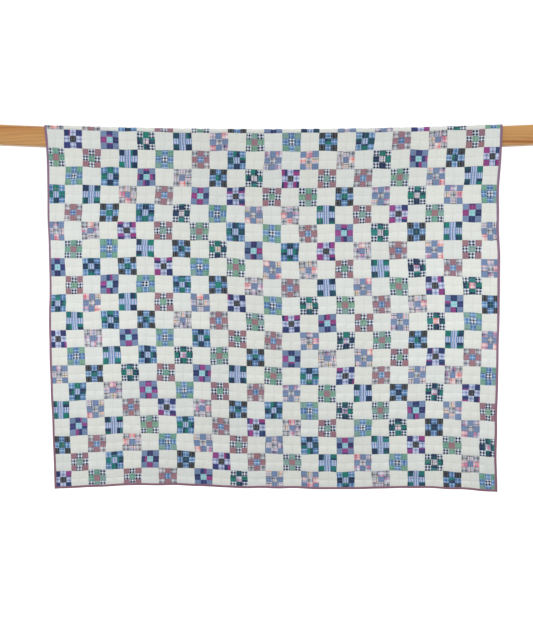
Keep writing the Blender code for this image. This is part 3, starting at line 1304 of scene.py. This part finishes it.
@dataclass
class QuiltReverse(Piece):
    """The quilt's plain reverse, against the beam and behind both drops."""

    name: str = "quilt_reverse"
    seed: int = 77
    tuck: float = 0.0022
    parts: tuple[float, ...] = (0.0, 0.2, 0.42, 0.5, 0.58, 0.8)
    turn_steps: int = 6
    dimple: float = 0.0009
    dimple_half: float = 0.006
    crinkle: float = 0.00030
    crinkle_length: float = 0.04
    edge_slope: float = 0.010

    def build(self) -> None:
        """Makes the reverse: level with the solid's inner face, and drawn in along the quilting."""
        guide = QuiltTop(parts=self.parts, turn_steps=self.turn_steps, tuck=self.tuck)
        across_line, up_line = guide.lines(COLUMNS, BLOCK_WIDTH), guide.up_lines()
        up, across = np.meshgrid(up_line, across_line, indexing="ij")
        upright = notch(across, BLOCK_WIDTH, 0.5, self.dimple_half)
        level = notch(up, BLOCK_LENGTH, 0.5, self.dimple_half)
        crinkles = (1.0 + ripples(across, up, self.crinkle_length, self.seed)).clip(0.0, None)
        off = LINING + self.dimple * np.maximum(upright, level) + self.crinkle * crinkles
        flat = 1.0 - ease((from_edge(across, up) - BINDING_REACH) / self.edge_slope)
        off = off + flat * (EDGE_BACK - off)
        points = DRAPE.place(across - WIDTH / 2, up, off)
        self.piece = grid_mesh(self.name, points, flip=True)
        put_flat(self.piece.data, flat_corners(self.piece.data, across_line, up_line))
        self.fit("quilt_body", "cotton")


@dataclass(frozen=True)
class PlainCotton(CottonFinish):
    """Unbleached plain cotton: quilting stitches show through, with painted shade in their dimples.
    """

    cloth: Colour = dye(224, 222, 210)
    fleck: Colour = dye(196, 188, 168)
    thread: Colour = dye(236, 234, 226)
    fleck_cover: float = 0.35
    painted_dimple_shade: float = 0.06
    thread_cover: float = 0.6
    slub: float = 1100.0
    slub_length: float = 200.0
    slub_rise: float = 0.4
    tone: float = 0.98
    wear: float = 0.06
    pucker: float = 140.0
    roughness: float = 0.9
    slub_roughness: float = 0.06

    def make(self) -> bpy.types.Material:
        """Makes the material."""
        nodes = Nodes.of_material("plain_cotton")
        flat = nodes.uv("flat")
        across, up, _ = flat.parts()
        slub_up, slub_across = self.slubs(nodes, flat)
        stitches, _, dimple = self.quilting(across, up)
        worn = nodes.noise(flat, (6.0, 6.0, 1.0), detail=3.0)
        flecks = nodes.noise(flat, (420.0, 120.0, 1.0), 5.0).step(0.66, 0.74)
        # painted shade: the colour darkens in the quilting dimples, where shade falls
        shade = self.shade(worn, slub_up + slub_across) - self.painted_dimple_shade * dimple
        cloth = nodes.mix(self.fleck_cover * flecks, self.cloth, self.fleck)
        stitched = self.thread_cover * stitches
        colour = nodes.mix(stitched, nodes.shade(cloth, shade), self.thread)
        height = self.relief(nodes, flat, slub_up + slub_across, stitches) - dimple
        return self.close(nodes, colour, slub_up, height)


class Side(Enum):
    """The four edges of the quilt that a binding strip is folded over."""

    LEFT = "left"
    RIGHT = "right"
    FRONT_HEM = "front_hem"
    BACK_HEM = "back_hem"

    @property
    def wide(self) -> float:
        """How wide the strip shows from the front, as a share of its usual width."""
        return {Side.LEFT: 1.07, Side.RIGHT: 1.32}.get(self, 1.06)


@dataclass(frozen=True)
class Fold:
    """One point of the strip's section: metres out past the quilt's edge, and off its middle."""

    out: float
    off: float


FOLDS = (
    Fold(-0.0082, 0.00120),
    Fold(-0.0079, 0.00215),
    Fold(-0.0070, 0.00262),
    Fold(-0.0052, 0.00278),
    Fold(-0.0028, 0.00280),
    Fold(-0.0006, 0.00272),
    Fold(0.0010, 0.00236),
    Fold(0.0020, 0.00150),
    Fold(0.00235, 0.00020),
    Fold(0.0020, -0.00118),
    Fold(0.0010, -0.00205),
    Fold(-0.0006, -0.00238),
    Fold(-0.0030, -0.00245),
    Fold(-0.0056, -0.00240),
    Fold(-0.0074, -0.00215),
    Fold(-0.0081, -0.00095),
)


@dataclass
class Binding(Piece):
    """One folded strip of plum cotton, sewn over an edge of the quilt."""

    side: Side
    seed: int
    step: float = 0.0055
    pucker: float = 0.00022
    pucker_length: float = 0.024
    wander: float = 0.0005
    wander_length: float = 0.09
    thickest: float = 0.0028

    def stations(self) -> Array:
        """Places along the strip, from one end to the other.

        Returns:
            Metres up from the front hem, or across from the quilt's middle for a hem's strip.
        """
        if self.side in (Side.LEFT, Side.RIGHT):
            start, end = -BINDING_END, LENGTH + BINDING_END
        else:
            end = WIDTH / 2 - BINDING_REACH - BUTT_GAP
            start = -end
        return np.linspace(start, end, round((end - start) / self.step) + 1)

    def build(self) -> None:
        """Makes the strip: its folded section along the edge, a little puckered and uneven."""
        along = self.stations()[:, None]
        out = np.array([fold.out for fold in FOLDS])
        off = np.array([fold.off for fold in FOLDS])
        waves = ripples(along, np.zeros(1), self.pucker_length, self.seed)
        wander = ripples(along, np.zeros(1), self.wander_length, self.seed + 1)
        sewn = np.clip(-out / BINDING_REACH, 0.0, 1.0)
        out = np.where((out < 0.0) & (off > 0.0), out * self.side.wide, out)
        out = out + sewn * self.wander * (wander - 1.0)
        puffed = off * (1.0 + self.pucker / self.thickest * (waves - 1.0) * (1.0 - sewn**6))
        level = np.broadcast_to(along, puffed.shape)
        across, up = {
            Side.LEFT: (-WIDTH / 2 - out, level),
            Side.RIGHT: (WIDTH / 2 + out, level),
            Side.FRONT_HEM: (level, -out),
            Side.BACK_HEM: (level, LENGTH + out),
        }[self.side]
        points = DRAPE.place(across, up, puffed)
        flip = self.side in (Side.LEFT, Side.BACK_HEM)
        self.piece = grid_mesh(f"folded_strip_{self.side.value}", points, closed=True, flip=flip)
        self.map_faces(along.ravel())
        self.fit(f"binding_{self.side.value}", "binding")

    def map_faces(self, along: Array) -> None:
        """Lays the strip out flat: metres round its section, and metres along it.

        Args:
            along: The stations.
        """
        mesh = self.piece.data
        corners = corner_points(mesh)
        count = len(FOLDS)
        profile = np.array([[fold.out, fold.off] for fold in FOLDS])
        lengths = np.linalg.norm(np.diff(profile, axis=0, append=profile[:1]), axis=1)
        rounds = np.concatenate([[0.0], np.cumsum(lengths)])
        around = rounds[corners % count]
        wraps = np.zeros(len(corners), dtype=bool)
        sides = np.arange(len(mesh.polygons) - 2)
        wraps[: 4 * len(sides)] = np.repeat(sides % count == count - 1, 4)
        around = np.where(wraps & (corners % count == 0), rounds[-1], around)
        put_uv(mesh, "cloth", np.stack([around, along[corners // count] - along[0]], axis=-1))


@dataclass(frozen=True)
class BindingCotton(CottonFinish):
    """Plain plum cotton, a little faded along the fold."""

    cloth: Colour = dye(142, 112, 138)
    rosy: Colour = dye(140, 102, 120)
    faded: Colour = dye(164, 138, 154)
    rosy_height: float = -1.75
    fold_at: float = 0.0122
    fold_half: float = 0.0030
    fold_fade: float = 0.35
    slub: float = 1500.0
    slub_length: float = 300.0
    slub_shade: float = 0.16
    slub_rise: float = 0.5
    tone: float = 0.97
    wear: float = 0.12
    roughness: float = 0.85
    depth: float = 0.0003
    sheen: float = 0.12

    def make(self) -> bpy.types.Material:
        """Makes the material."""
        nodes = Nodes.of_material("binding_cotton")
        flat = nodes.uv("cloth")
        around, _, _ = flat.parts()
        _, _, height_up = nodes.place().parts()
        slub_up, slub_across = self.slubs(nodes, flat)
        worn = nodes.noise(flat, (30.0, 22.0, 1.0), 2.0, detail=3.0)
        tone = (height_up / self.rosy_height + 0.5 * (worn - 0.5)).step(0.0, 1.0)
        cloth = nodes.mix(tone, self.cloth, self.rosy)
        fold = 1.0 - abs(around - self.fold_at).step(0.0, self.fold_half)
        cloth = nodes.mix(self.fold_fade * fold * worn, cloth, self.faded)
        slubs = slub_up + slub_across
        colour = nodes.shade(cloth, self.shade(worn, slubs))
        return self.close(nodes, colour, slub_up, self.slub_rise * slubs + worn)


@dataclass
class Beam(Piece):
    """The planed pine beam, bowed a little, with rounded long edges."""

    name: str = "pine_beam"
    seed: int = 9
    stations: int = 181
    corner_points: int = 7
    face_points: int = 9
    chamfer: float = 0.0009
    end_step: float = 0.006
    planing: float = 0.00022
    planing_length: float = 0.30
    chatter_length: float = 0.07

    def section(self) -> Array:
        """The beam's section: quarter circles about the inner corners, with points between them.

        Returns:
            Points of depth and height about the axis, once round.
        """
        made = []
        for corner in range(4):
            turn = np.linspace(0.0, math.pi / 2, self.corner_points) + corner * math.pi / 2
            between = corner * math.pi / 2 + math.pi / 4
            middle = CORNER * math.sqrt(2.0) * np.array([math.cos(between), math.sin(between)])
            arc = middle + BEAM_ROUNDING * np.stack([np.cos(turn), np.sin(turn)], axis=-1)
            made.append(arc)
            step = (corner + 1) * math.pi / 2
            out = np.array([math.cos(step), math.sin(step)])
            side = np.array([-math.sin(step), math.cos(step)])
            place = np.linspace(-CORNER, CORNER, self.face_points + 2)[1:-1, None]
            made.append(BEAM_HALF * out + place * side)
        return np.concatenate(made)

    def build(self) -> None:
        """Makes the beam: its section at stations along the bowed axis, chamfered at the ends."""
        inner = np.linspace(self.end_step, BEAM_LENGTH - self.end_step, self.stations)
        start, end = [0.0, self.chamfer], [BEAM_LENGTH - self.chamfer, BEAM_LENGTH]
        along = np.concatenate([start, inner, end])
        section = self.section()
        shrink = np.ones(len(along))
        shrink[[0, -1]] = 1.0 - self.chamfer / BEAM_HALF
        round_it = np.arange(len(section)) / len(section) * 8.0 * BEAM_HALF
        planed = np.abs(ripples(along[:, None], round_it, self.planing_length, self.seed))
        chatter = np.abs(ripples(along[:, None], round_it, self.chatter_length, self.seed + 1))
        hollow = self.planing * planed + 0.5 * self.planing * chatter
        shrink = shrink[:, None] - hollow / BEAM_HALF
        y = section[:, 0] * shrink
        z = section[:, 1] * shrink + DRAPE.bow(along)[:, None]
        x = np.broadcast_to(along[:, None], y.shape)
        self.piece = grid_mesh(self.name, np.stack([x, y, z], axis=-1), closed=True, flip=True)
        self.fit("beam", "pine")


@dataclass(frozen=True)
class PlanedPine:
    """Oiled pine: rings about a pith below the beam, long fibres, and a slow drift of tone."""

    early: Colour = dye(204, 147, 84)
    late: Colour = dye(164, 104, 58)
    red: Colour = dye(158, 94, 50)
    pale: Colour = dye(220, 174, 112)
    ring: float = 0.0115
    ring_sway: float = 0.075
    ring_wobble: float = 0.024
    pith_depth: float = 0.030
    pith_height: float = -0.085
    band_height: float = -0.033
    band_half: float = 0.010
    band_start: float = 1.6
    band_end: float = 2.3
    band_cover: float = 0.8
    drift: float = 0.50
    tone: float = 0.96
    fibre: float = 0.24
    pores: float = 0.16
    depth: float = 0.00025

    def make(self) -> bpy.types.Material:
        """Makes the material."""
        nodes = Nodes.of_material("planed_pine")
        place = nodes.place()
        along, depth, height = place.parts()
        sway = nodes.noise(place, (1.3, 5.0, 5.0), detail=3.0)
        uneven = nodes.noise(place, (0.5, 34.0, 34.0), 13.0)
        drift = nodes.noise(place, (0.7, 9.0, 9.0), 4.0)
        strong = nodes.noise(place, (1.1, 30.0, 30.0), 6.0, detail=1.0)
        from_pith = (depth - self.pith_depth) ** 2.0 + (height - self.pith_height) ** 2.0
        from_pith = from_pith**0.5 + self.ring_sway * (sway - 0.5)
        from_pith = from_pith + self.ring_wobble * (uneven - 0.5)
        share = (from_pith / self.ring).fract()
        rings = share.step(0.10, 0.86) * (1.0 - share.step(0.90, 1.0))
        fibre = nodes.noise(place, (7.0, 620.0, 620.0))
        pores = nodes.noise(place, (26.0, 1500.0, 1500.0), 9.0, detail=1.0)
        strength = 0.15 + 0.85 * strong.step(0.35, 0.65)
        wood = nodes.mix(0.10 + 0.90 * rings * strength, self.early, self.late)
        wood = nodes.mix(self.drift * drift.step(0.50, 0.70), wood, self.red)
        wood = nodes.mix(self.drift * drift.step(0.52, 0.32), wood, self.pale)
        from_band = abs(height - self.band_height + 0.03 * (sway - 0.5)) / self.band_half
        band = 1.0 - from_band.step(0.2, 1.0)
        band = self.band_cover * band * along.step(self.band_start, self.band_end)
        wood = nodes.mix(band, wood, self.red)
        shade = self.tone + self.fibre * (fibre - 0.5) + self.pores * (pores - 0.5)
        relief = 0.6 * fibre + 0.3 * pores - 0.5 * rings
        roughness = 0.46 + 0.20 * (fibre - 0.5) + 0.08 * rings
        oil = {"Specular IOR Level": 0.4, "Coat Weight": 0.06, "Coat Roughness": 0.35}
        nodes.finish(nodes.shade(wood, shade), roughness, relief, self.depth, oil)
        return nodes.owner


@dataclass
class Studio:
    """The pale floor, the lit backdrop, the large soft lamp above and the fill lamps in front."""

    floor_height: float = -4.0
    floor_half: float = 40.0
    floor_tone: float = 0.50
    floor_glow: float = 0.75
    glow_start: float = 0.5
    glow_end: float = 3.0
    backdrop: float = 1.06
    backdrop_turn: tuple[float, float] = (0.35, 0.85)
    room: float = 0.30
    lamp_strength: float = 1.92
    lamp_above: float = 54.0
    lamp_aside: float = -18.0
    lamp_softness: float = 30.0
    lamp_place: tuple[float, float, float] = (0.0, -4.0, 4.0)
    fill_power: float = 6.0
    fill_size: tuple[float, float] = (1.6, 0.5)
    fill_across: tuple[float, float] = (0.02, 2.62)
    fill_front: float = -1.3
    fill_height: float = -0.75

    def build(self) -> None:
        """Makes the floor, the room's light and the lamps."""
        self.floor()
        self.light_room()
        data = bpy.data.lights.new("high_lamp", "SUN")
        data.energy, data.angle = self.lamp_strength, math.radians(self.lamp_softness)
        turn = (math.radians(90.0 - self.lamp_above), 0.0, math.radians(self.lamp_aside))
        self.hang("high_lamp", data, self.lamp_place, turn)
        for name, across in zip(("fill_lamp_left", "fill_lamp_right"), self.fill_across):
            data = bpy.data.lights.new(name, "AREA")
            data.energy, data.shape = self.fill_power, "RECTANGLE"
            data.size, data.size_y = self.fill_size
            place = (across, self.fill_front, self.fill_height)
            self.hang(name, data, place, (math.radians(90.0), 0.0, 0.0))

    @staticmethod
    def hang(name: str, data: bpy.types.Light, place: tuple, turn: tuple) -> None:
        """Puts a lamp in the scene.

        Args:
            name: The lamp's name.
            data: The lamp.
            place: Where it hangs.
            turn: How it is turned, in radians.
        """
        lamp = bpy.data.objects.new(name, data)
        lamp.location, lamp.rotation_euler = place, turn
        bpy.context.scene.collection.objects.link(lamp)

    def floor(self) -> None:
        """Makes the pale floor."""
        side = np.linspace(-self.floor_half, self.floor_half, 9)
        x, y = np.meshgrid(side + BEAM_LENGTH / 2, side, indexing="xy")
        points = np.stack([x, y, np.full(x.shape, self.floor_height)], axis=-1)
        piece = grid_mesh("studio_floor", points)
        nodes = Nodes.of_material("studio_floor")
        _, depth, _ = nodes.place().parts()
        glow = nodes.mix(depth.step(self.glow_start, self.glow_end), (0.02,) * 3, (1.0,) * 3)
        sockets = {
            "Base Color": (*(self.floor_tone,) * 3, 1.0),
            "Roughness": 0.9,
            "Emission Color": glow,
            "Emission Strength": self.floor_glow,
        }
        shader = nodes.add("ShaderNodeBsdfPrincipled", {}, sockets)
        nodes.add_output(shader)
        piece.data.materials.append(nodes.owner)

    def light_room(self) -> None:
        """Lights the room: a white backdrop behind the quilt, and softer light all round."""
        world = bpy.data.worlds.new("studio")
        bpy.context.scene.world = world
        nodes = Nodes(world)
        _, depth, _ = nodes.add("ShaderNodeTexCoord", {}, {}).parts()
        strength = depth.step(*self.backdrop_turn, self.room, self.backdrop)
        white = (1.0, 1.0, 1.0, 1.0)
        light = nodes.add("ShaderNodeBackground", {}, {"Color": white, "Strength": strength})
        nodes.add_output(light, "ShaderNodeOutputWorld")


@dataclass(frozen=True)
class Viewpoint:
    """The camera, five metres in front of the quilt and looking slightly down."""

    place: tuple[float, float, float] = (1.32, -5.0546, -0.4899)
    pitch: float = -4.575
    lens: float = 58.08
    sensor: float = 36.0

    def build(self) -> None:
        """Makes the camera and gives it to the scene."""
        data = bpy.data.cameras.new("camera")
        data.lens, data.sensor_width = self.lens, self.sensor
        data.sensor_fit = "AUTO"
        data.clip_start, data.clip_end = 0.1, 100.0
        data.dof.use_dof = False
        camera = bpy.data.objects.new("camera", data)
        camera.location = self.place
        camera.rotation_euler = (math.radians(90.0 + self.pitch), 0.0, 0.0)
        bpy.context.scene.collection.objects.link(camera)
        bpy.context.scene.camera = camera


def main() -> None:
    logging.basicConfig(level=logging.INFO, format="%(name)s %(message)s")
    scene = bpy.context.scene
    scene.view_settings.view_transform = "Standard"
    Viewpoint().build()
    Studio().build()
    beam, top, reverse = Beam(), QuiltTop(), QuiltReverse()
    for piece, finish in ((beam, PlanedPine()), (top, PiecedCotton()), (reverse, PlainCotton())):
        piece.build()
        piece.dress(finish.make())
    cotton = BindingCotton().make()
    bindings = [Binding(side, seed=100 + 10 * number) for number, side in enumerate(Side)]
    for binding in bindings:
        binding.build()
        binding.dress(cotton)
    bpy.context.view_layer.update()


if __name__ == "__main__":
    main()
